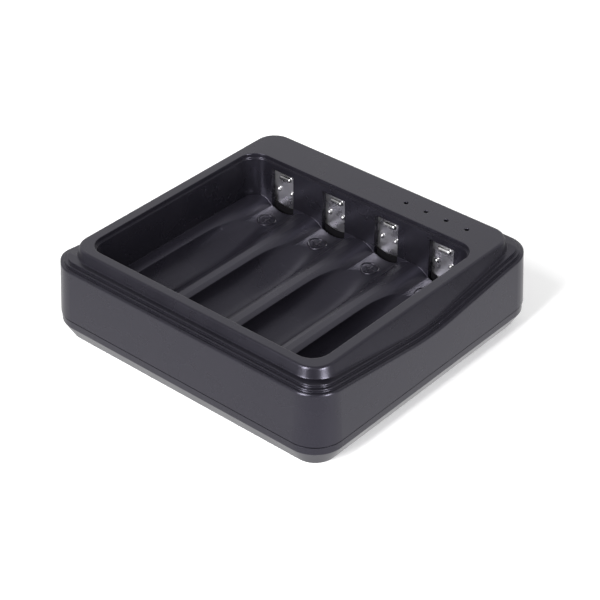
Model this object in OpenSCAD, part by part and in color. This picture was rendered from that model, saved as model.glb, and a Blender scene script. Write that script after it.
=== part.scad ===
// Four-bay charger for AA and AAA cells
// Origin at the centre of the underside, X across the bays, +Y to the contact end, +Z up

/* [Bays] */
// Distance between neighbouring bay centres
bay_pitch = 15.4; // [14.8:0.1:17]
// Land between the outer bays and the side walls of the well
bay_margin = 1.2; // [0.6:0.1:2]
// Length of the battery well
well_l = 53.2; // [53:0.1:57]
// Height of the humps between the bays
ridge_z = 11.1; // [10.5:0.1:12]
// Radius of the deep channel for the thin cells
channel_r = 5.65; // [5.4:0.05:6]
// Lowest line of the deep channel
channel_floor_z = 5.2; // [5:0.1:6]
// Radius of the shallow trough for the thick cells
trough_r = 7.3; // [7.25:0.05:8]
// Lowest line of the shallow trough
trough_z = 8.6; // [8.3:0.1:9.2]
// Height above that line at which the trough bends over into the humps
trough_rise = 0.8; // [0.6:0.05:1]
// Bend radius of the two arcs by which the channel rises into the trough
ramp_r = 45; // [35:1:55]
// Distance from the top of that rise to the contact wall
ramp_gap = 2.45; // [1.5:0.05:4]
// Length of the shelf ahead of the deep channels
shelf_l = 7.65; // [7.2:0.05:9]
// Wall of the tray
tray_wall = 1.3; // [1:0.1:1.5]

/* [Case] */
// Overall height
body_h = 22; // [20.5:0.1:24]
// Width of the case outside the well at each side
side_land = 6.5; // [6.2:0.1:8]
// Depth of the case ahead of the well
front_land = 6.25; // [6:0.05:8]
// Depth of the case behind the well
rear_land = 13.55; // [12.5:0.05:16]
// Outer corner radius
corner_r = 6.5; // [5.5:0.1:8]
// Height of the parting line
split_z = 5.85; // [5.5:0.05:7]
// How far the outer wall spreads from its top down to the parting line
flare = 0.7; // [0.3:0.05:1]
// Outer wall
wall = 1.6; // [1.2:0.1:1.8]
// Wall of the well, which sets the contacts back from its face
well_wall = 1.2; // [1:0.05:1.4]
// Corner radius of the well
well_r = 4; // [3:0.1:5]
// Width of the relieved lip round the well's mouth
lip_w = 0.4; // [0.2:0.05:0.7]
// Depth of that lip
lip_h = 1.1; // [0.6:0.1:2]

/* [Shoulder and rim] */
// Height of the outer wall at the front and the back
shoulder_z = 18.5; // [17.5:0.1:19]
// Height of the outer wall at the lowest point of the side dip
shoulder_dip_z = 15.4; // [14:0.1:16]
// Place of that lowest point, back from the middle of the case
dip_y = 0; // [-2:0.1:2]
// Distance from the ends of that dip to the front and the back
dip_gap = 4; // [2:0.1:8]
// Bend radius of the bottom of that dip
dip_r = 65; // [40:1:80]
// Width of each of the two steps above the wall
step_in = 0.8; // [0.5:0.05:1]
// Height of each of those steps
step_up = 0.6; // [0.4:0.05:0.8]
// Distance from the outer wall to the raised rim
rim_inset = 3.6; // [3.2:0.1:4]
// Corner radius of the rim
rim_r = 4.8; // [4:0.1:5.5]
// How far the rim's outer face leans out for each millimetre down
rim_lean = 0.3; // [0.15:0.01:0.35]
// Rounding of the rim's upper edge
rim_edge = 0.6; // [0.3:0.1:1]

/* [Base] */
// Floor of the base
base_floor = 1.6; // [1.2:0.1:1.8]
// How far the base is set in behind the outer wall
base_in = 0.15; // [0.1:0.05:0.25]
// Height of the knee above which the base is upright
knee_z = 3.85; // [3.4:0.05:4.4]
// How far the base is turned in at its underside
foot_in = 2.3; // [1.8:0.1:2.6]
// Depth of the fine groove along the parting line
groove_in = 0.45; // [0.3:0.05:0.6]
// Height of that groove
groove_h = 0.35; // [0.2:0.05:0.5]
// Height of the tongue that locates the two shells
tongue_h = 1; // [0.6:0.1:1.5]
// Thickness of that tongue
tongue_t = 0.7; // [0.5:0.05:0.8]

/* [Contacts] */
// Width of the window in front of each positive contact
window_w = 6.6; // [5.8:0.1:7]
// Distance from the top of the case down to the window's upper edge
window_drop = 2.65; // [2.4:0.05:3.5]
// Thickness of the contact sheet
sheet_t = 0.4; // [0.3:0.05:0.5]
// Width of the positive plate
plate_w = 8.6; // [7.8:0.1:9.5]
// How far the plate reaches past the window's upper edge
plate_over = 0.6; // [0.4:0.05:0.8]
// Width of every contact's leg
leg_w = 3; // [2:0.1:3.6]
// Distance from the window's upper edge down to the middle of the pressed bar
bar_drop = 1.95; // [1.5:0.05:2.5]
// Length of the pressed bar
bar_l = 3.75; // [3:0.05:4.5]
// Diameter of the pressed bar
bar_d = 1.3; // [1:0.1:1.6]
// Height of the two dimples on the plate
dimple_z = 13.95; // [13:0.05:15]
// Distance between the two dimples
dimple_span = 3.9; // [3:0.05:4.2]
// Diameter of each dimple
dimple_d = 1.2; // [0.9:0.1:1.5]
// Width of the tall leaf spring
leaf_w = 7; // [5.5:0.1:8]
// Distance of the tall leaf's root from the well's front wall
leaf_root_y = 2.05; // [1.9:0.05:2.6]
// How far the tall leaf leans in towards the cell
leaf_reach = 3; // [2:0.1:3.4]
// Height at which the tall leaf meets the cell
leaf_bump_z = 14.2; // [13:0.1:14.6]
// Width of the low leaf spring
low_leaf_w = 4; // [3:0.1:4.5]
// How far the low leaf leans in towards the cell
low_leaf_reach = 1.6; // [1:0.1:2]
// Height at which the low leaf meets the cell
low_leaf_bump_z = 7; // [6.8:0.1:7.3]

/* [Electronics] */
// Thickness of the circuit board
board_t = 1.2; // [0.8:0.1:1.4]
// Gap between the board and the lowest part of the tray
board_gap = 0.5; // [0.3:0.05:0.6]
// Place of the first indicator, right of the middle
led_x = 9.05; // [8:0.05:10]
// Distance between the indicators
led_pitch = 5.6; // [4.5:0.1:6]
// Distance of the indicators from the rear wall's outside
led_in = 8.4; // [7.6:0.1:9]
// Diameter of each indicator hole
led_hole_d = 1.1; // [0.8:0.1:2]
// Diameter of each indicator lamp
led_d = 3; // [2:0.1:3.4]
// Height of each indicator lamp
led_h = 4.8; // [3.6:0.1:6]
// Height of the flat packages on the board
chip_h = 1.3; // [0.8:0.1:1.5]
// Width of the controller chip
controller_w = 4; // [3:0.1:5]
// Length of the controller chip
controller_l = 10; // [6:0.5:14]
// Width of each power transistor
transistor_w = 3; // [2:0.1:4]
// Length of each power transistor
transistor_l = 1.5; // [1.2:0.1:1.7]
// Diameter of the inductor
inductor_d = 6; // [4:0.1:6.2]
// Height of the inductor
inductor_h = 4.5; // [3:0.1:7]
// Diameter of the capacitor
capacitor_d = 5; // [4:0.1:6.3]
// Height of the capacitor
capacitor_h = 9; // [5:0.5:12]
// Length of each chip resistor
resistor_l = 2; // [1:0.1:2.4]
// Width of the power socket
usb_w = 7.5; // [7:0.1:8]
// Height of the power socket
usb_h = 2.6; // [2.4:0.1:3]
// Length of the power socket
usb_l = 5.6; // [5:0.1:6]
// Width of the power socket at its narrow lower side
usb_foot_w = 5.4; // [5:0.1:6]

/* [Fasteners] */
// Distance of each screw from the two outer walls beside it
screw_in = 5; // [4.9:0.05:5.3]
// Diameter of the screw's shank
screw_d = 2; // [1.6:0.1:2.2]
// Diameter of the screw's head
screw_head_d = 3.4; // [3:0.1:3.6]
// Height of the screw's head
screw_head_h = 1.2; // [0.8:0.1:1.4]
// How far the screw's head is let in above the floor of the base
screw_recess = 0.8; // [0.4:0.1:1.2]
// Length of the screw under its head
screw_l = 8; // [6:0.5:9]
// Diameter of the bosses that the screws enter
boss_d = 4.8; // [4.4:0.1:4.9]

/* [Hidden] */
$fn = 64;
bays = 4;
eps = 0.01;
fit = 0.1;
running = 0.3;
// The cells set the well, and the well sets the case
well_w = bays * bay_pitch + 2 * bay_margin;
body_w = well_w + 2 * side_land;
body_d = well_l + front_land + rear_land;
front_y = -body_d / 2;
rear_y = body_d / 2;
well_y0 = front_y + front_land;
well_y1 = well_y0 + well_l;
well_mid_y = (well_y0 + well_y1) / 2;
plate_y = well_y1 + well_wall;
plate_z = trough_z - tray_wall;
window_top_z = body_h - window_drop;
bar_z = window_top_z - bar_drop;
ramp_over = 0.15;
hair = 0.03;
lap_angle = 1;
ramp_rise = trough_z + ramp_over - channel_floor_z;
ramp_angle = acos(1 - ramp_rise / (2 * ramp_r));
ramp_end_y = well_y1 - ramp_gap;
ramp_start_y = ramp_end_y - 2 * ramp_r * sin(ramp_angle);
channel_y0 = well_y0 + shelf_l;
trough_edge_z = trough_z + trough_rise;
trough_half = sqrt(trough_rise * (2 * trough_r - trough_rise));
// Each hump runs from the trough's edge to just above the ridges' height, so a narrow flat is left on it
hump_gap = 0.15;
hump_over = 0.05;
hump_half = bay_pitch / 2 - trough_half - hump_gap;
hump_top_z = ridge_z + hump_over;
hump_rise = hump_top_z - trough_edge_z;
hump_r = (hump_half * hump_half + hump_rise * hump_rise) / (2 * hump_rise);
// The slopes of the dip leave its ends and touch its round bottom
dip_run = body_d / 2 - dip_gap;
dip_rise = shoulder_z - shoulder_dip_z;
dip_angle = atan2(dip_r - dip_rise, -dip_run) + asin(dip_r / norm([dip_run, dip_r - dip_rise])) - 180;
cover_ceiling_z = shoulder_dip_z - wall;
rim_z = shoulder_dip_z - step_up;
room_ceiling_z = body_h - wall;
room_rear_y = rear_y - rim_inset - wall;
// The board hangs on the tray's lowest line, and everything on it starts at board_top
board_top = channel_floor_z - tray_wall - board_gap;
board_z = board_top - board_t;
screw_x = body_w / 2 - screw_in;
screw_y = body_d / 2 - screw_in;
board_w = 2 * (screw_x - boss_d / 2 - 2 * running);
board_y0 = well_y0 - running;
board_y1 = rear_y - wall - 4 * running;
seat_z = split_z - wall;
head_seat_z = base_floor + screw_recess;
leaf_y = well_y0 + leaf_root_y;
low_leaf_y = channel_y0 + 2 * running + sheet_t;
socket_y = rear_y + flare - wall / 2;
shell_t = 0.3;
plastic = "#3a393e";
nickel = "#c9c7c2";

function bay_x(i) = (i - (bays + 1) / 2) * bay_pitch;

// Shared shapes

// Rounded rectangle about the origin
module round_rect(w, d, r) {
    square([w - 2 * r, d], center = true);
    square([w, d - 2 * r], center = true);
    for (x = [-1, 1], y = [-1, 1]) translate([x * (w / 2 - r), y * (d / 2 - r)]) circle(r);
}

// Upright block with the case's plan, set in by a distance
module case_block(inset, z0, z1) {
    translate([0, 0, z0]) linear_extrude(z1 - z0)
        round_rect(body_w - 2 * inset, body_d - 2 * inset, corner_r - inset);
}

// Upright block with the well's plan, grown by a distance
module well_block(grow, z0, z1) {
    translate([0, well_mid_y, z0]) linear_extrude(z1 - z0)
        round_rect(well_w + 2 * grow, well_l + 2 * grow, well_r + grow);
}

// Solid whose section, drawn outward from the corner centres, runs round a rounded rectangle
module rim_sweep(w, d, r, z0, z1) {
    cx = w / 2 - r;
    cy = d / 2 - r;
    translate([-cx, -cy, z0]) cube([2 * cx, 2 * cy, z1 - z0]);
    for (k = [0:3]) {
        odd = k % 2;
        rotate([0, 0, 90 * k]) {
            translate([odd ? cy : cx, odd ? cx : cy, 0]) rotate_extrude(angle = 90) children();
            translate([odd ? cy : cx, odd ? cx : cy, 0]) rotate([90, 0, 0])
                linear_extrude(odd ? 2 * cx : 2 * cy) children();
        }
    }
}

// Half section of the rim from a corner's centre outward, with its leaning face and rounded upper edge
module rim_section() {
    lean = atan(rim_lean);
    reach = rim_edge * tan(45 - lean / 2);
    polygon([
        [0, rim_z], [rim_r + rim_lean * (body_h - rim_z), rim_z],
        [rim_r + reach * sin(lean), body_h - reach * cos(lean)], [rim_r - reach, body_h], [0, body_h]
    ]);
    translate([rim_r - reach, body_h - rim_edge]) circle(rim_edge);
}

module at_screws() {
    for (x = [-1, 1], y = [-1, 1]) translate([x * screw_x, y * screw_y, 0]) children();
}

module along_y(y0, y1, z, r) {
    translate([0, y0, z]) rotate([-90, 0, 0]) cylinder(h = y1 - y0, r = r);
}

// Half section of the outer wall from a corner's centre outward, as it spreads down to the parting line
module wall_section() {
    spread = flare / (shoulder_z - split_z);
    polygon([
        [0, split_z], [corner_r + flare, split_z], [corner_r - spread * (body_h - shoulder_z), body_h], [0, body_h]
    ]);
}

// Everything below the shoulder, raised by a distance
module shoulder_block(lift) {
    translate([-body_w, 0, 0]) rotate([90, 0, 90]) linear_extrude(2 * body_w) shoulder_profile(lift);
}

// Side view of the shoulder, Y across and Z up: level ends and two slopes that meet in a round dip
module shoulder_profile(lift) {
    level = shoulder_z + lift;
    bottom = shoulder_dip_z + lift;
    foot = dip_r * sin(dip_angle);
    foot_z = bottom + dip_r * (1 - cos(dip_angle));
    translate([dip_y, 0]) difference() {
        polygon([
            [-body_d, 0], [-body_d, level], [-dip_run, level], [-foot, foot_z],
            [foot, foot_z], [dip_run, level], [body_d, level], [body_d, 0]
        ]);
        translate([0, bottom + dip_r]) circle(dip_r + hair, $fn = 180);
    }
}

// Space above the tray's floor, X across and Z up: the troughs, and all that lies over the humps between them
module bay_profile() {
    difference() {
        translate([-well_w, trough_edge_z]) square([2 * well_w, body_h]);
        for (i = [0:bays]) translate([bay_x(i) + bay_pitch / 2, hump_top_z - hump_r]) circle(hump_r);
    }
    for (i = [1:bays]) translate([bay_x(i), 0]) intersection() {
        translate([0, trough_z + trough_r]) circle(trough_r);
        translate([-bay_pitch / 2, 0]) square([bay_pitch, trough_edge_z + eps]);
    }
}

// Solid swept by a disc along a bay's deep channel, level, then up two arcs until it runs out in the trough
// Each stretch is a hair slimmer than the one before it and starts just inside it
module channel_run(r, y0) {
    along_y(y0, ramp_start_y, channel_floor_z + channel_r, r);
    translate([0, ramp_start_y, channel_floor_z + ramp_r]) rotate([0, 90, 0])
        ramp_arc(ramp_r - channel_r, -lap_angle, r - hair);
    translate([0, ramp_end_y, trough_z + ramp_over - ramp_r]) rotate([0, -90, 0])
        ramp_arc(ramp_r + channel_r, -lap_angle - ramp_angle, r - 2 * hair);
}

module ramp_arc(bend_r, start, r) {
    rotate([0, 0, start]) rotate_extrude(angle = ramp_angle + lap_angle) translate([bend_r, 0]) circle(r);
}

module trough_run(r, y0, y1) {
    along_y(y0, y1, trough_z + trough_r, r);
}

// Strip of sheet that stands on the board and leans in to a rounded contact bend
module leaf(root_y, reach, bump_z, straight_z, w) {
    top_z = bump_z + reach / 2;
    points = [[root_y, board_top + fit], [root_y, straight_z], [root_y + reach, bump_z], [root_y + reach / 2, top_z]];
    translate([-w / 2, 0, 0]) rotate([90, 0, 90]) linear_extrude(w) {
        for (k = [0:2]) {
            run = points[k + 1] - points[k];
            translate(points[k]) rotate(atan2(run[1], run[0]))
                translate([0, -sheet_t / 2]) square([norm(run), sheet_t]);
        }
        for (k = [1:3]) translate(points[k]) circle(d = sheet_t);
    }
}

// Sub-parts

module top_cover() {
    color(plastic) difference() {
        union() {
            intersection() {
                rim_sweep(body_w, body_d, corner_r, split_z, body_h) wall_section();
                shoulder_block(0);
            }
            for (k = [1, 2]) intersection() {
                case_block(k * step_in, split_z, body_h);
                shoulder_block(k * step_up);
            }
            rim_sweep(body_w - 2 * rim_inset, body_d - 2 * rim_inset, rim_r, rim_z, body_h) rim_section();
        }
        well_block(0, 0, body_h + eps);
        well_block(lip_w, body_h - lip_h, body_h + eps);
        cover_hollow();
        contact_windows();
        for (k = [0:bays - 1]) translate([led_x + k * led_pitch, rear_y - led_in, room_ceiling_z - eps])
            cylinder(h = wall + 2 * eps, d = led_hole_d);
        usb_mouth();
    }
}

// Space between the well and the outer walls, with the screw bosses and contact rails left standing
module cover_hollow() {
    well_block(well_wall, 0, ridge_z);
    difference() {
        case_block(wall, 0, cover_ceiling_z);
        well_block(well_wall, 0, cover_ceiling_z + eps);
        at_screws() translate([0, 0, seat_z]) difference() {
            cylinder(h = cover_ceiling_z, d = boss_d);
            translate([0, 0, -eps]) cylinder(h = screw_l - (seat_z - head_seat_z) + running, d = screw_d + fit);
        }
        contact_rails();
    }
    difference() {
        case_block(wall - tongue_t - fit, 0, split_z + tongue_h + fit);
        case_block(wall, -eps, split_z + tongue_h + fit + eps);
    }
    difference() {
        translate([-well_w / 2, plate_y, 0]) cube([well_w, room_rear_y - plate_y, room_ceiling_z]);
        contact_rails();
    }
}

// Upright ribs between which each positive plate stands
module contact_rails() {
    for (i = [1:bays], side = [-1, 1])
        translate([bay_x(i) + side * (plate_w / 2 + fit + wall / 2) - wall / 2, plate_y - eps, ridge_z])
            cube([wall, 3 * sheet_t, room_ceiling_z]);
}

module contact_windows() {
    for (i = [1:bays]) translate([bay_x(i) - window_w / 2, well_y1 - eps, ridge_z - eps])
        cube([window_w, well_wall + 2 * eps, window_top_z - ridge_z + eps]);
}

// Opening for the plug, shared by both shells
module usb_mouth() {
    translate([-usb_w / 2 - running, rear_y - 2 * wall, board_top - running])
        cube([usb_w + 2 * running, 3 * wall, usb_h + 2 * running]);
}

module battery_tray() {
    color(plastic) difference() {
        union() {
            well_block(well_wall - fit, ridge_z - tray_wall, ridge_z);
            intersection() {
                well_block(well_wall - fit, board_top, ridge_z);
                union() for (i = [1:bays]) translate([bay_x(i), 0, 0]) {
                    channel_run(channel_r + tray_wall, channel_y0 - tray_wall);
                    trough_run(trough_r + tray_wall, well_y0, well_y1 + well_wall);
                }
            }
        }
        intersection() {
            well_block(0, 0, 2 * ridge_z);
            translate([0, well_y1 + well_wall, 0]) rotate([90, 0, 0]) linear_extrude(well_l + 2 * well_wall) bay_profile();
        }
        for (i = [1:bays]) translate([bay_x(i), 0, 0]) {
            channel_run(channel_r, channel_y0);
            translate([-window_w / 2, well_y1, 0]) cube([window_w, 2 * well_wall, 2 * ridge_z]);
            leaf_slot(leaf_w, leaf_y, trough_z - tray_wall, ridge_z);
            leaf_slot(low_leaf_w, low_leaf_y, 0, channel_floor_z + 2 * tray_wall);
        }
    }
}

// Slot that lets a leaf spring pass up through the tray and give way from the cell
module leaf_slot(w, y, z0, z1) {
    translate([-w / 2 - running, y - sheet_t - 3 * running, z0 - eps])
        cube([w + 2 * running, 2 * sheet_t + 4 * running, z1 - z0 + 2 * eps]);
}

module base_cover() {
    color(plastic) difference() {
        union() {
            difference() {
                rim_sweep(body_w, body_d, corner_r, 0, split_z) base_section();
                case_block(wall + base_in, base_floor, split_z + eps);
            }
            difference() {
                case_block(wall - tongue_t, split_z - tongue_h, split_z + tongue_h);
                case_block(wall, split_z - 2 * tongue_h, split_z + tongue_h + eps);
            }
            at_screws() translate([0, 0, base_floor - eps]) cylinder(h = seat_z - base_floor + eps, d = boss_d);
            tray_ribs();
            board_posts();
        }
        at_screws() {
            translate([0, 0, -eps]) cylinder(h = head_seat_z + eps, d = screw_head_d + 2 * fit);
            cylinder(h = seat_z + eps, d = screw_d + 2 * fit);
        }
        usb_mouth();
    }
}

// Half section of the base from a corner's centre outward, with its turned-in foot and parting groove
module base_section() {
    r = corner_r + flare;
    polygon([
        [0, 0], [r - foot_in, 0], [r - base_in, knee_z], [r - base_in, split_z - groove_h],
        [r - groove_in, split_z - groove_h], [r - groove_in, split_z], [0, split_z]
    ]);
}

// Ribs along both sides that carry the tray
module tray_ribs() {
    rib_t = well_wall - 2 * fit;
    for (side = [-1, 1])
        translate([side * (well_w + well_wall) / 2 - rib_t / 2, well_y0 + well_r, base_floor - eps])
            cube([rib_t, well_l - 2 * well_r, ridge_z - tray_wall - base_floor + eps]);
}

module board_posts() {
    for (x = [-1, 1], y = [board_y0 + boss_d, board_y1 - boss_d])
        translate([x * (board_w / 2 - boss_d), y, base_floor - eps])
            cylinder(h = board_z - base_floor + eps, d = boss_d);
}

module circuit_board() {
    color("#2f5a3a") translate([-board_w / 2, board_y0, board_z]) cube([board_w, board_y1 - board_y0, board_t]);
}

module positive_contact(i) {
    color(nickel) translate([bay_x(i), plate_y, 0]) {
        translate([-plate_w / 2, 0, plate_z]) cube([plate_w, sheet_t, window_top_z + plate_over - plate_z]);
        translate([-leg_w / 2, 0, board_top]) cube([leg_w, sheet_t, plate_z - board_top]);
        half_bar = (bar_l - bar_d) / 2;
        translate([-half_bar, 0, bar_z]) rotate([0, 90, 0]) cylinder(h = 2 * half_bar, d = bar_d);
        for (side = [-1, 1]) {
            translate([side * half_bar, 0, bar_z]) sphere(d = bar_d);
            translate([side * dimple_span / 2, 0, dimple_z]) sphere(d = dimple_d);
        }
    }
}

module aa_spring_contact(i) {
    color(nickel) translate([bay_x(i), 0, 0]) leaf(leaf_y, leaf_reach, leaf_bump_z, ridge_z, leaf_w);
}

module aaa_spring_contact(i) {
    color(nickel) translate([bay_x(i), 0, 0])
        leaf(low_leaf_y, low_leaf_reach, low_leaf_bump_z, channel_floor_z, low_leaf_w);
}

// Domed lamp on two long legs that stand on the board
module indicator_led(i) {
    lamp_z = room_ceiling_z - running - led_h;
    color("#dfe6dc") translate([led_x + (i - 1) * led_pitch, rear_y - led_in, 0]) {
        translate([0, 0, lamp_z]) cylinder(h = led_h - led_d / 2, d = led_d);
        translate([0, 0, lamp_z + led_h - led_d / 2]) sphere(d = led_d);
        for (side = [-1, 1]) translate([side * led_d / 4 - sheet_t / 2, -sheet_t / 2, board_top])
            cube([sheet_t, sheet_t, lamp_z - board_top + eps]);
    }
}

// Section of the socket's sheet shell, wide above and drawn in below
module usb_section(inset) {
    half = usb_w / 2 - inset;
    foot = usb_foot_w / 2 - inset;
    polygon([
        [-half, usb_h - inset], [-half, usb_h / 2], [-foot, inset],
        [foot, inset], [half, usb_h / 2], [half, usb_h - inset]
    ]);
}

module usb_socket_shell() {
    color(nickel) translate([0, socket_y, board_top]) rotate([90, 0, 0]) difference() {
        linear_extrude(usb_l) usb_section(0);
        translate([0, 0, -eps]) linear_extrude(usb_l - shell_t + eps) usb_section(shell_t);
    }
}

module usb_socket_tongue() {
    tongue_l = usb_l - shell_t - usb_h / 2;
    color("#1c1c1e") translate([-usb_w / 4, socket_y - usb_l + shell_t, board_top + usb_h / 2])
        cube([usb_w / 2, tongue_l, usb_h / 4]);
}

// Flat package on the board, in the space below the middle ridge
module charge_controller() {
    color("#1b1b1d") translate([-controller_w / 2, well_mid_y - controller_l / 2, board_top])
        cube([controller_w, controller_l, chip_h]);
}

// One switch for each bay, just behind its positive contact
module power_transistors() {
    color("#1b1b1d") for (i = [1:bays])
        translate([bay_x(i) - transistor_w / 2, plate_y + 3 * sheet_t, board_top])
            cube([transistor_w, transistor_l, chip_h]);
}

module inductor() {
    color("#45423f") translate([bay_x(1) - bay_pitch / 4, rear_y - led_in + transistor_l, board_top])
        cylinder(h = inductor_h, d = inductor_d);
}

module capacitor() {
    color("#26303c") translate([bay_x(1) + bay_pitch / 2, rear_y - led_in, board_top])
        cylinder(h = capacitor_h, d = capacitor_d);
}

module chip_resistors() {
    color("#2a2a2c") for (k = [0:bays - 1])
        translate([led_x + k * led_pitch - resistor_l / 4, board_y1 - 1.5 * resistor_l, board_top])
            cube([resistor_l / 2, resistor_l, resistor_l / 4]);
}

module housing_screws() {
    color("#8d8f92") at_screws() {
        translate([0, 0, head_seat_z - screw_head_h]) difference() {
            cylinder(h = screw_head_h, d = screw_head_d);
            for (turn = [0, 90]) rotate([0, 0, turn])
                cube([screw_head_d / 2, screw_head_d / 6, screw_head_h], center = true);
        }
        translate([0, 0, head_seat_z - eps]) cylinder(h = screw_l + eps, d = screw_d);
    }
}

top_cover();
battery_tray();
base_cover();
circuit_board();
for (i = [1:bays]) {
    positive_contact(i);
    aa_spring_contact(i);
    aaa_spring_contact(i);
    indicator_led(i);
}
usb_socket_shell();
usb_socket_tongue();
charge_controller();
power_transistors();
inductor();
capacitor();
chip_resistors();
housing_screws();
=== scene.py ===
import math

import bmesh
import bpy
from bpy.props import FloatProperty, FloatVectorProperty, PointerProperty
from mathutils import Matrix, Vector


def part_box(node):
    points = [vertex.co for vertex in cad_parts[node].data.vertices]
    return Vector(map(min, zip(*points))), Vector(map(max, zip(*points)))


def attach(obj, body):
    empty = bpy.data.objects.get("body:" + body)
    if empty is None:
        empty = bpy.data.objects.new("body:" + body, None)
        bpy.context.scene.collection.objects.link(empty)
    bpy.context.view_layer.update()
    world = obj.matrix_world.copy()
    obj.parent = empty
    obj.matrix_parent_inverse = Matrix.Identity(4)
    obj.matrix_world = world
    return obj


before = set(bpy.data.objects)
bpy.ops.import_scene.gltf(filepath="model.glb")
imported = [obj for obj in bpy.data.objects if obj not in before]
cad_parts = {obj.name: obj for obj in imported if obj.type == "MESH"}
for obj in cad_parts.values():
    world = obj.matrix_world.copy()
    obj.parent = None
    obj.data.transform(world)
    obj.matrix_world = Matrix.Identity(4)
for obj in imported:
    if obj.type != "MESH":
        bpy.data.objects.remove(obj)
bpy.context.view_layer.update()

bl_info = {
    "name": "Four-Bay Battery Charger",
    "version": (1, 0, 0),
    "blender": (4, 5, 0),
    "location": "View3D > Sidebar > Charger",
    "description": "Finishes a packed battery charger, adds its shade sills and polarity signs and sets a white studio",
    "category": "Object",
}

MM = 0.001
BAYS = range(1, 5)
# Corner radius of the case at the parting line
CORNER_R = 7.2 * MM
# Heights up to which the shells and the tray keep their fine joints crisp
SHELL_CRISP_Z = 7 * MM
TRAY_CRISP_Z = 9 * MM
# How far the polarity signs sit left of the middle of their contacts
SIGN_SHIFT = 0.5 * MM
# Level direction from the camera to the charger, in which the white sweep stands
SWEEP_WAY = (-0.653, 0.757, 0)
CAMERA_PLACE = (0.22814, -0.26192, 0.24866)
# How far the camera looks down, and its turn about the vertical, in degrees
CAMERA_DOWN = 34.9
CAMERA_TURN = 40.8


def srgb(hex_code):
    """Turns an sRGB hex colour into the linear RGBA that Blender's sockets take."""
    parts = [int(hex_code[k:k + 2], 16) / 255 for k in (1, 3, 5)]
    return (*(c / 12.92 if c <= 0.04045 else ((c + 0.055) / 1.055) ** 2.4 for c in parts), 1.0)


def colour(name, hex_code, description):
    """Setting for a colour that is given in sRGB hex."""
    return FloatVectorProperty(
        name=name, description=description, subtype="COLOR", size=4, min=0, max=1, default=srgb(hex_code)
    )


def length(name, millimetres, description):
    """Setting for a length that is given in millimetres."""
    return FloatProperty(
        name=name, description=description, subtype="DISTANCE", unit="LENGTH", min=0, precision=5,
        default=millimetres * MM,
    )


class ChargerFinishes(bpy.types.PropertyGroup):
    """Colours of the charger's materials"""

    case: colour("Case", "#131217", "Black of the moulded shells and the tray")
    nickel: colour("Contacts", "#d5d4d6", "Nickel plate of the cell contacts")
    tin: colour("Socket", "#b9bbbd", "Tinned steel of the power socket")
    resist: colour("Board", "#1f5232", "Solder resist of the circuit board")
    lamp: colour("Lamps", "#e6ece4", "Clear resin of the indicator lamps")
    sleeve: colour("Capacitor", "#27313d", "Shrunk sleeve of the capacitor")
    zinc: colour("Screws", "#a3a6aa", "Zinc plate of the housing screws")


class ChargerSizes(bpy.types.PropertyGroup):
    """Sizes of what is added to the solids"""

    edge: length("Edge rounding", 0.28, "Radius of the softened edges of the shells")
    wall_edge: length("Wall rounding", 0.9, "Radius of the softened edge along the top of the outer wall")
    ridge_edge: length("Ridge rounding", 0.2, "Radius of the softened edges of the tray's ridges")
    grain: length("Mould grain", 0.35, "Width of one grain of the spark-eroded mould texture")
    # The shade sill is a black strip of painted shade, set where the recess below each contact lies in shadow
    shade_sill_w: length("Shade sill width", 6.4, "Width of the painted shade sill below each positive contact")
    shade_sill_rise: length("Shade sill height", 1.1, "How far the shade sill stands above the edge of the trough")
    sign_d: length("Sign diameter", 4.4, "Outer diameter of the polarity ring")
    sign_line: length("Sign line", 0.36, "Width of the sign's raised lines")
    sign_rise: length("Sign height", 0.22, "How far the sign stands above the tray")
    sign_gap: length("Sign distance", 5.6, "Distance from the contact wall to the middle of the sign")


class ChargerStudio(bpy.types.PropertyGroup):
    """Light and floor of the studio"""

    paper: colour("Paper", "#f4f4f4", "White paper that the charger stands on")
    key: FloatProperty(name="Left box", description="Power of the left soft box", unit="POWER", min=0, default=11.5)
    fill: FloatProperty(name="Right box", description="Power of the right soft box", unit="POWER", min=0, default=7.0)
    room: FloatProperty(name="Room", description="Brightness of the grey room", min=0, default=0.4)
    glow: FloatProperty(name="Paper glow", description="Light that lifts the paper to white", min=0, default=0.24)


def add_node(tree, kind, inputs=None, **settings):
    """Adds a shader node; a socket given for an input is linked, and any other value is set on it."""
    made = tree.nodes.new(kind)
    for name, value in settings.items():
        setattr(made, name, value)
    for name, value in (inputs or {}).items():
        if isinstance(value, bpy.types.NodeSocket):
            tree.links.new(value, made.inputs[name])
        else:
            made.inputs[name].default_value = value
    return made


def new_material(name):
    """Returns a material with an empty tree, its Object coordinates in metres, and its output."""
    material = bpy.data.materials.new(name)
    material.use_nodes = True
    tree = material.node_tree
    tree.nodes.clear()
    place = add_node(tree, "ShaderNodeTexCoord").outputs["Object"]
    out = add_node(tree, "ShaderNodeOutputMaterial").inputs["Surface"]
    return material, tree, place, out


def per_metre(millimetres):
    """Scale of a pattern that repeats about every so many millimetres."""
    return 1 / (millimetres * MM)


def finish_nodes(material, *names):
    """Gives CAD nodes their material, in the slots that they have."""
    for name in names:
        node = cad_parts[name]
        if not node.material_slots:
            raise RuntimeError(f"{name} has no material slot")
        for slot in node.material_slots:
            slot.material = material


def dim(rgba, share):
    """Scales a colour's light, down or up, and leaves it opaque."""
    return (*(c * share for c in rgba[:3]), 1.0)


# Materials


def edge_above(tree, place, edge, height):
    """Edge radius that is tiny up to a height, so that fine joints stay fine, and full above it."""
    tiny, blend = 0.02 * MM, 0.6 * MM
    level = add_node(tree, "ShaderNodeSeparateXYZ", {"Vector": place}).outputs["Z"]
    return add_node(tree, "ShaderNodeMapRange", {
        "Value": level, "From Min": height, "From Max": height + blend, "To Min": tiny, "To Max": edge,
    }).outputs["Result"]


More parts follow.
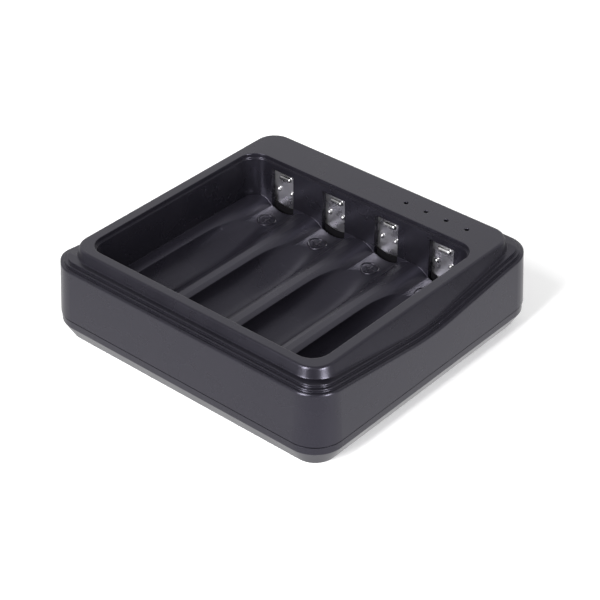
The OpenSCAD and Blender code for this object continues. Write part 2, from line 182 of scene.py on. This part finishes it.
def edge_by_place(tree, place, edge, wall_edge):
    """Edge radius that grows to its largest along the top of the outer wall."""
    # The zone starts at this height and takes in this much of the wall's outer skin, each over a short blend
    zone_z, zone_blend = 10 * MM, 2 * MM
    skin, skin_blend = 1.2 * MM, 0.25 * MM
    _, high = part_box("top_cover")
    # Distance from the rectangle through the middles of the corner arcs, the same all along the wall
    reach = Vector((high.x - CORNER_R, high.y - CORNER_R, 1.0))
    height = add_node(tree, "ShaderNodeSeparateXYZ", {"Vector": place}).outputs["Z"]
    upper = add_node(tree, "ShaderNodeMapRange", {
        "Value": height, "From Min": zone_z, "From Max": zone_z + zone_blend,
    })
    away = add_node(tree, "ShaderNodeVectorMath", {0: place}, operation="ABSOLUTE")
    away = add_node(tree, "ShaderNodeVectorMath", {0: away.outputs["Vector"], 1: reach}, operation="SUBTRACT")
    away = add_node(tree, "ShaderNodeVectorMath", {0: away.outputs["Vector"], 1: (0, 0, 0)}, operation="MAXIMUM")
    away = add_node(tree, "ShaderNodeVectorMath", {0: away.outputs["Vector"]}, operation="LENGTH")
    outer = add_node(tree, "ShaderNodeMapRange", {
        "Value": away.outputs["Value"], "From Min": CORNER_R - skin, "From Max": CORNER_R - skin + skin_blend,
    })
    both = add_node(tree, "ShaderNodeMath", {
        0: outer.outputs["Result"], 1: upper.outputs["Result"],
    }, operation="MULTIPLY")
    return add_node(tree, "ShaderNodeMapRange", {
        "Value": both.outputs[0], "To Min": edge, "To Max": wall_edge,
    }).outputs["Result"]


def moulded_abs(name, base, grain, depth, roughness, edge, crisp_up_to=0, wall_edge=None):
    """ABS moulded in a spark-eroded tool: a fine even grain gives it a satin, faintly speckled black."""
    material, tree, place, out = new_material(name)
    flow = add_node(tree, "ShaderNodeTexNoise", {"Vector": place, "Scale": per_metre(9), "Detail": 3.0})
    # Real spark-eroded pits are near 0.05 mm, too fine to draw, so the grain is drawn coarser
    pits = add_node(tree, "ShaderNodeTexNoise", {
        "Vector": place, "Scale": 1 / grain, "Detail": 2.0, "Roughness": 0.6,
    })
    tint = add_node(tree, "ShaderNodeMix", {
        0: flow.outputs["Fac"], 6: dim(base, 0.88), 7: dim(base, 1.12),
    }, data_type="RGBA")
    gloss = add_node(tree, "ShaderNodeMapRange", {
        "Value": flow.outputs["Fac"], "From Min": 0.3, "From Max": 0.7,
        "To Min": roughness - 0.04, "To Max": roughness + 0.04,
    })
    radius = edge_above(tree, place, edge, crisp_up_to)
    if wall_edge is not None:
        radius = edge_by_place(tree, place, radius, wall_edge)
    soft = add_node(tree, "ShaderNodeBevel", {"Radius": radius}, samples=8)
    bump = add_node(tree, "ShaderNodeBump", {
        "Height": pits.outputs["Fac"], "Distance": depth, "Strength": 1.0, "Normal": soft.outputs["Normal"],
    })
    shader = add_node(tree, "ShaderNodeBsdfPrincipled", {
        "Base Color": tint.outputs[2], "Roughness": gloss.outputs["Result"], "Normal": bump.outputs["Normal"],
        "IOR": 1.54, "Specular Tint": srgb("#ece8ff"),
    })
    tree.links.new(shader.outputs["BSDF"], out)
    return material


def nickel_strip(base):
    """Bright nickel over rolled strip: mirror-like, broken by the fine lines that the rolls leave along the strip."""
    material, tree, place, out = new_material("nickel_plated_rolled_strip")
    # Real roll lines are near 0.02 mm apart, too fine to draw, so they are drawn coarser
    along = add_node(tree, "ShaderNodeMapping", {"Vector": place, "Scale": (1.0, 1.0, 0.05)})
    lines = add_node(tree, "ShaderNodeTexNoise", {
        "Vector": along.outputs["Vector"], "Scale": per_metre(0.25), "Detail": 2.0,
    })
    cloud = add_node(tree, "ShaderNodeTexNoise", {"Vector": place, "Scale": per_metre(3.2), "Detail": 2.0})
    tint = add_node(tree, "ShaderNodeMix", {
        0: cloud.outputs["Fac"], 6: dim(base, 0.6), 7: base,
    }, data_type="RGBA")
    gloss = add_node(tree, "ShaderNodeMapRange", {
        "Value": cloud.outputs["Fac"], "From Min": 0.35, "From Max": 0.65, "To Min": 0.22, "To Max": 0.38,
    })
    soft = add_node(tree, "ShaderNodeBevel", {"Radius": 0.12 * MM}, samples=8)
    bump = add_node(tree, "ShaderNodeBump", {
        "Height": lines.outputs["Fac"], "Distance": 0.004 * MM, "Strength": 1.0, "Normal": soft.outputs["Normal"],
    })
    shader = add_node(tree, "ShaderNodeBsdfPrincipled", {
        "Base Color": tint.outputs[2], "Metallic": 1.0, "Roughness": gloss.outputs["Result"],
        "Normal": bump.outputs["Normal"],
    })
    tree.links.new(shader.outputs["BSDF"], out)
    return material


def plated_steel(name, base, grit, roughness):
    """Tin or zinc plate on steel: a soft grey metal whose crystals show as faint patches of more and less shine."""
    material, tree, place, out = new_material(name)
    crystals = add_node(tree, "ShaderNodeTexVoronoi", {"Vector": place, "Scale": per_metre(grit)})
    haze = add_node(tree, "ShaderNodeTexNoise", {"Vector": place, "Scale": per_metre(grit * 3), "Detail": 3.0})
    tint = add_node(tree, "ShaderNodeMix", {
        0: haze.outputs["Fac"], 6: dim(base, 0.8), 7: base,
    }, data_type="RGBA")
    gloss = add_node(tree, "ShaderNodeMapRange", {
        "Value": crystals.outputs["Distance"], "To Min": roughness, "To Max": roughness + 0.15,
    })
    bump = add_node(tree, "ShaderNodeBump", {
        "Height": crystals.outputs["Distance"], "Distance": 0.006 * MM, "Strength": 1.0,
    })
    shader = add_node(tree, "ShaderNodeBsdfPrincipled", {
        "Base Color": tint.outputs[2], "Metallic": 1.0, "Roughness": gloss.outputs["Result"],
        "Normal": bump.outputs["Normal"],
    })
    tree.links.new(shader.outputs["BSDF"], out)
    return material


def solder_resist(base):
    """Green resist over etched copper: the tracks below show as paler, slightly raised lines."""
    material, tree, place, out = new_material("solder_resist_on_etched_board")
    tracks = add_node(tree, "ShaderNodeTexBrick", {
        "Vector": place, "Scale": per_metre(10), "Mortar Size": 0.03, "Mortar Smooth": 0.3,
        "Color1": dim(base, 0.8), "Color2": base, "Mortar": dim(base, 1.7),
    })
    bump = add_node(tree, "ShaderNodeBump", {
        "Height": tracks.outputs["Fac"], "Distance": 0.035 * MM, "Strength": 1.0,
    })
    shader = add_node(tree, "ShaderNodeBsdfPrincipled", {
        "Base Color": tracks.outputs["Color"], "Roughness": 0.35, "IOR": 1.5, "Normal": bump.outputs["Normal"],
    })
    tree.links.new(shader.outputs["BSDF"], out)
    return material


def clear_resin(base):
    """Cast clear epoxy: a bright lens that is a little hazy where the resin met the mould."""
    material, tree, place, out = new_material("clear_cast_epoxy")
    haze = add_node(tree, "ShaderNodeTexNoise", {"Vector": place, "Scale": per_metre(1), "Detail": 2.0})
    gloss = add_node(tree, "ShaderNodeMapRange", {"Value": haze.outputs["Fac"], "To Min": 0.04, "To Max": 0.2})
    shader = add_node(tree, "ShaderNodeBsdfPrincipled", {
        "Base Color": base, "Roughness": gloss.outputs["Result"], "IOR": 1.55, "Transmission Weight": 0.85,
    })
    tree.links.new(shader.outputs["BSDF"], out)
    return material


def dull_moulding(name, base, grit, roughness, depth, shine=0.5):
    """Filled resin, ferrite, shrunk film and painted shade: near black, with a dull even grit, in millimetres."""
    material, tree, place, out = new_material(name)
    specks = add_node(tree, "ShaderNodeTexNoise", {"Vector": place, "Scale": per_metre(grit), "Detail": 4.0})
    tint = add_node(tree, "ShaderNodeMix", {
        0: specks.outputs["Fac"], 6: dim(base, 0.75), 7: dim(base, 1.25),
    }, data_type="RGBA")
    bump = add_node(tree, "ShaderNodeBump", {
        "Height": specks.outputs["Fac"], "Distance": depth * MM, "Strength": 1.0,
    })
    shader = add_node(tree, "ShaderNodeBsdfPrincipled", {
        "Base Color": tint.outputs[2], "Roughness": roughness, "IOR": 1.5, "Specular IOR Level": shine,
        "Normal": bump.outputs["Normal"],
    })
    tree.links.new(shader.outputs["BSDF"], out)
    return material


# Operators


class CHARGER_OT_case(bpy.types.Operator):
    """Finish the two shells and the battery tray in moulded ABS"""

    bl_idname = "charger.case"
    bl_label = "Finish the Case"

    def execute(self, context):
        base = context.scene.charger_finishes.case
        sizes = context.scene.charger_sizes
        shell = moulded_abs(
            "spark_eroded_black_abs", base, sizes.grain, depth=0.0015 * MM, roughness=0.28,
            edge=sizes.edge, crisp_up_to=SHELL_CRISP_Z, wall_edge=sizes.wall_edge,
        )
        # The coarser grain scatters more light, so the tray is a greyer black; its colour is also lifted as painted
        # light, standing in for light that the deep well gets too little of
        tray = moulded_abs(
            "coarse_grained_black_abs_with_painted_light", dim(base, 2.0), sizes.grain, depth=0.014 * MM, roughness=0.3,
            edge=sizes.ridge_edge, crisp_up_to=TRAY_CRISP_Z,
        )
        finish_nodes(shell, "top_cover", "base_cover")
        finish_nodes(tray, "battery_tray")
        return {"FINISHED"}


class CHARGER_OT_contacts(bpy.types.Operator):
    """Finish the positive plates and the leaf springs in nickel plate"""

    bl_idname = "charger.contacts"
    bl_label = "Finish the Contacts"

    def execute(self, context):
        strip = nickel_strip(context.scene.charger_finishes.nickel)
        kinds = ("positive_contact", "aa_spring_contact", "aaa_spring_contact")
        finish_nodes(strip, *(f"{kind}_{i}" for kind in kinds for i in BAYS))
        return {"FINISHED"}


class CHARGER_OT_board(bpy.types.Operator):
    """Finish the circuit board and what is soldered to it"""

    bl_idname = "charger.board"
    bl_label = "Finish the Board"

    def execute(self, context):
        looks = context.scene.charger_finishes
        black = srgb("#1b1b1d")
        finish_nodes(solder_resist(looks.resist), "circuit_board")
        finish_nodes(clear_resin(looks.lamp), *(f"indicator_led_{i}" for i in BAYS))
        finish_nodes(dull_moulding("filled_epoxy_chip_moulding", black, 0.15, 0.55, 0.01),
                     "charge_controller", "power_transistors", "chip_resistors")
        finish_nodes(dull_moulding("sintered_ferrite", srgb("#45423f"), 0.2, 0.6, 0.02), "inductor")
        finish_nodes(dull_moulding("shrunk_pvc_sleeve", looks.sleeve, 1.5, 0.3, 0.01), "capacitor")
        return {"FINISHED"}


class CHARGER_OT_fittings(bpy.types.Operator):
    """Finish the power socket and the housing screws"""

    bl_idname = "charger.fittings"
    bl_label = "Finish the Socket and Screws"

    def execute(self, context):
        looks = context.scene.charger_finishes
        finish_nodes(plated_steel("tinned_stamped_steel", looks.tin, 0.4, 0.3), "usb_socket_shell")
        finish_nodes(dull_moulding("glass_filled_nylon", srgb("#1c1c1e"), 0.3, 0.5, 0.01), "usb_socket_tongue")
        finish_nodes(plated_steel("zinc_plated_screw_steel", looks.zinc, 0.3, 0.35), "housing_screws")
        return {"FINISHED"}


def on_tray(x, y, rise):
    """Point so far above the tray's upper surface."""
    hit, point, _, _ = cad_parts["battery_tray"].ray_cast(Vector((x, y, 1)), Vector((0, 0, -1)))
    if not hit:
        raise RuntimeError("a detail lies off the tray")
    return point + Vector((0, 0, rise))


def skin_rows(mesh, rows, closed):
    """Joins rows of points along a run, round each row, with the ends capped unless the run is closed."""
    rows = [[mesh.verts.new(point) for point in row] for row in rows]
    for a, b in zip(rows, rows[1:] + rows[:1] if closed else rows[1:]):
        for k in range(len(a)):
            mesh.faces.new((a[k - 1], a[k], b[k], b[k - 1]))
    if not closed:
        mesh.faces.new(rows[0][::-1])
        mesh.faces.new(rows[-1])


def raise_line(mesh, section, spots, closed):
    """Adds a raised line that follows the tray; a spot is a point of it and the way across it there."""
    skin_rows(mesh, [[on_tray(x + across_x * side, y + across_y * side, up) for side, up in section]
                     for x, y, across_x, across_y in spots], closed)


def add_detail(scene, name, mesh, material):
    """Turns a mesh into an object that rides on the case."""
    bmesh.ops.recalc_face_normals(mesh, faces=mesh.faces)
    data = bpy.data.meshes.new(name)
    mesh.to_mesh(data)
    mesh.free()
    data.materials.append(material)
    detail = bpy.data.objects.new(name, data)
    scene.collection.objects.link(detail)
    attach(detail, "case")


class CHARGER_OT_shade_sills(bpy.types.Operator):
    """Set a black sill into the slot below each positive contact, as painted shade for the shadowed recess there"""

    bl_idname = "charger.sills"
    bl_label = "Add the Contact Shade Sills"

    def execute(self, context):
        sizes = context.scene.charger_sizes
        # The sill's black is painted shade: the strip stands for the shadowed recess below each plate and hides the
        # plate's lower end
        fibre = dull_moulding("painted_shade_black", srgb("#0b0a0d"), 0.3, 0.9, 0.01, 0.1)
        columns = 16
        # How far the sill's two faces stand ahead of the plate's middle, its depth below its top edge, and how far
        # ahead of the plate the trough's height is read
        front, back, depth, ahead = 0.2 * MM, 0.05 * MM, 2.3 * MM, 1 * MM
        section = ((front, 0), (front, depth), (back, depth), (back, 0))
        for i in BAYS:
            low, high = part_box(f"positive_contact_{i}")
            cx, face_y = (low.x + high.x) / 2, (low.y + high.y) / 2
            rows = []
            for k in range(columns + 1):
                top = on_tray(cx + sizes.shade_sill_w * (k / columns - 0.5), low.y - ahead, sizes.shade_sill_rise)
                rows.append([Vector((top.x, face_y - out, top.z - drop)) for out, drop in section])
            mesh = bmesh.new()
            skin_rows(mesh, rows, False)
            add_detail(context.scene, f"contact_shade_sill_{i}", mesh, fibre)
        return {"FINISHED"}


class CHARGER_OT_signs(bpy.types.Operator):
    """Mould a raised ring with a plus into the tray ahead of each positive contact"""

    bl_idname = "charger.signs"
    bl_label = "Add the Polarity Signs"

    def execute(self, context):
        sizes = context.scene.charger_sizes
        shiny = moulded_abs(
            "polished_sign_black_abs", context.scene.charger_finishes.case, sizes.grain, depth=0.001 * MM,
            roughness=0.24, edge=0.08 * MM,
        )
        radius, half, rise = sizes.sign_d / 2, sizes.sign_line / 2, sizes.sign_rise
        # Section of a raised line, from its root below the surface over its round back
        bends = [math.pi * k / 6 for k in range(7)]
        section = [(-half, -rise), *((-half * math.cos(t), rise * math.sin(t)) for t in bends), (half, -rise)]
        # Half the length of the plus
        arm = radius * 0.55
        turns = [2 * math.pi * k / 72 for k in range(72)]
        steps = [k / 8 for k in range(9)]
        for i in BAYS:
            low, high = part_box(f"positive_contact_{i}")
            cx, cy = (low.x + high.x) / 2 - SIGN_SHIFT, low.y - sizes.sign_gap
            mesh = bmesh.new()
            ring = [(cx + (radius - half) * math.cos(t), cy + (radius - half) * math.sin(t),
                     math.cos(t), math.sin(t)) for t in turns]
            raise_line(mesh, section, ring, True)
            raise_line(mesh, section, [(cx, cy + arm * (2 * t - 1), 1, 0) for t in steps], False)
            for side in (-1, 1):
                half_bar = [(cx + side * (half + (arm - half) * t), cy, 0, side) for t in steps]
                raise_line(mesh, section, half_bar, False)
            for face in mesh.faces:
                face.smooth = True
            add_detail(context.scene, f"polarity_sign_{i}", mesh, shiny)
        return {"FINISHED"}


class CHARGER_OT_stage(bpy.types.Operator):
    """Set the paper floor, the soft boxes, the grey room and the camera"""

    bl_idname = "charger.stage"
    bl_label = "Set the Stage"

    def execute(self, context):
        scene = context.scene
        studio = scene.charger_studio
        scene.view_settings.view_transform = "Standard"
        self.lay_paper(scene, studio.paper, studio.glow)
        self.hang_box(scene, "left_soft_box", studio.key, place=(0.0, -0.66, 0.34), width=0.2, height=0.74)
        self.hang_box(scene, "right_soft_box", studio.fill, place=(0.74, -0.13, 0.11), width=0.28, height=0.2)
        self.light_room(scene, studio.room)
        lens = bpy.data.cameras.new("product_camera")
        lens.lens, lens.sensor_width = 115, 36
        camera = bpy.data.objects.new("product_camera", lens)
        camera.location = CAMERA_PLACE
        camera.rotation_euler = (math.radians(90 - CAMERA_DOWN), 0, math.radians(CAMERA_TURN))
        scene.collection.objects.link(camera)
        scene.camera = camera
        return {"FINISHED"}

    def lay_paper(self, scene, white, lift):
        """White paper: matt, and bright enough by itself to show white to the lens and in reflections."""
        material, tree, place, out = new_material("matt_white_paper")
        rays = add_node(tree, "ShaderNodeLightPath").outputs
        seen = add_node(tree, "ShaderNodeMath", {
            0: rays["Is Camera Ray"], 1: rays["Is Transmission Ray"],
        }, operation="MAXIMUM")
        glow = add_node(tree, "ShaderNodeMath", {0: seen.outputs[0], 1: lift}, operation="MULTIPLY")
        fibre = add_node(tree, "ShaderNodeTexNoise", {"Vector": place, "Scale": per_metre(1.5), "Detail": 3.0})
        tint = add_node(tree, "ShaderNodeMix", {
            0: fibre.outputs["Fac"], 6: dim(white, 0.985), 7: white,
        }, data_type="RGBA")
        matt = add_node(tree, "ShaderNodeBsdfDiffuse", {"Color": tint.outputs[2]})
        shine = add_node(tree, "ShaderNodeEmission", {"Color": (1, 1, 1, 1), "Strength": glow.outputs[0]})
        both = add_node(tree, "ShaderNodeAddShader", {0: matt.outputs["BSDF"], 1: shine.outputs["Emission"]})
        # Reflections show the paper white near the charger, and less so where it runs out of the pool of light
        away = add_node(tree, "ShaderNodeVectorMath", {0: place}, operation="LENGTH")
        pool = add_node(tree, "ShaderNodeMapRange", {
            "Value": away.outputs["Value"], "From Min": 0.07, "From Max": 0.15, "To Min": 1.0, "To Max": 0.12,
        }, interpolation_type="SMOOTHSTEP")
        mirrored = add_node(tree, "ShaderNodeEmission", {"Color": (1, 1, 1, 1), "Strength": pool.outputs["Result"]})
        shown = add_node(tree, "ShaderNodeMixShader", {
            0: rays["Is Glossy Ray"], 1: both.outputs["Shader"], 2: mirrored.outputs["Emission"],
        })
        tree.links.new(shown.outputs["Shader"], out)
        mesh = bmesh.new()
        bmesh.ops.create_grid(mesh, x_segments=8, y_segments=8, size=4)
        data = bpy.data.meshes.new("paper_floor")
        mesh.to_mesh(data)
        mesh.free()
        data.materials.append(material)
        floor = bpy.data.objects.new("paper_floor", data)
        floor.location.z = -0.02 * MM
        scene.collection.objects.link(floor)

    def hang_box(self, scene, name, power, place, width, height):
        """Hangs a rectangular soft box that faces the charger."""
        box = bpy.data.lights.new(name, "AREA")
        box.energy, box.shape, box.size, box.size_y = power, "RECTANGLE", width, height
        lamp = bpy.data.objects.new(name, box)
        lamp.location = place
        lamp.rotation_euler = (-Vector(place)).to_track_quat("-Z", "Y").to_euler()
        scene.collection.objects.link(lamp)

    def light_room(self, scene, grey):
        """A white sweep behind the charger that ends in a grey room overhead and on the near side."""
        world = bpy.data.worlds.new("grey_studio_room")
        world.use_nodes = True
        tree = world.node_tree
        tree.nodes.clear()
        way = add_node(tree, "ShaderNodeTexCoord").outputs["Generated"]
        height = add_node(tree, "ShaderNodeSeparateXYZ", {"Vector": way}).outputs["Z"]
        far = add_node(tree, "ShaderNodeVectorMath", {0: way, 1: SWEEP_WAY}, operation="DOT_PRODUCT")
        behind = add_node(tree, "ShaderNodeMapRange", {
            "Value": far.outputs["Value"], "From Min": -0.05, "From Max": 0.55,
        }, interpolation_type="SMOOTHSTEP")
        below = add_node(tree, "ShaderNodeMapRange", {
            "Value": height, "From Min": 0.62, "From Max": 0.9, "To Min": 1.0, "To Max": 0.0,
        }, interpolation_type="SMOOTHSTEP")
        sweep = add_node(tree, "ShaderNodeMath", {
            0: behind.outputs["Result"], 1: below.outputs["Result"],
        }, operation="MULTIPLY")
        level = add_node(tree, "ShaderNodeMapRange", {"Value": sweep.outputs[0], "To Min": grey, "To Max": 1.0})
        back = add_node(tree, "ShaderNodeBackground", {"Color": (1, 1, 1, 1), "Strength": level.outputs["Result"]})
        out = add_node(tree, "ShaderNodeOutputWorld", {"Surface": back.outputs["Background"]})
        tree.nodes.active = out
        scene.world = world


class CHARGER_PT_panel(bpy.types.Panel):
    """Settings and steps of the battery charger"""

    bl_idname = "CHARGER_PT_panel"
    bl_label = "Battery Charger"
    bl_space_type = "VIEW_3D"
    bl_region_type = "UI"
    bl_category = "Charger"

    def draw(self, context):
        for group in (context.scene.charger_finishes, context.scene.charger_sizes, context.scene.charger_studio):
            box = self.layout.box()
            for name in group.__annotations__:
                box.prop(group, name)
        for step in STEPS:
            self.layout.operator(step.bl_idname)


STEPS = (
    CHARGER_OT_case, CHARGER_OT_contacts, CHARGER_OT_board, CHARGER_OT_fittings, CHARGER_OT_shade_sills, CHARGER_OT_signs,
    CHARGER_OT_stage,
)
CLASSES = (ChargerFinishes, ChargerSizes, ChargerStudio, *STEPS, CHARGER_PT_panel)


def register():
    for cls in CLASSES:
        bpy.utils.register_class(cls)
    bpy.types.Scene.charger_finishes = PointerProperty(type=ChargerFinishes)
    bpy.types.Scene.charger_sizes = PointerProperty(type=ChargerSizes)
    bpy.types.Scene.charger_studio = PointerProperty(type=ChargerStudio)


def unregister():
    del bpy.types.Scene.charger_studio
    del bpy.types.Scene.charger_sizes
    del bpy.types.Scene.charger_finishes
    for cls in reversed(CLASSES):
        bpy.utils.unregister_class(cls)


def main():
    register()
    bpy.ops.charger.case()
    bpy.ops.charger.contacts()
    bpy.ops.charger.board()
    bpy.ops.charger.fittings()
    bpy.ops.charger.sills()
    bpy.ops.charger.signs()
    bpy.ops.charger.stage()


if __name__ == "__main__":
    main()
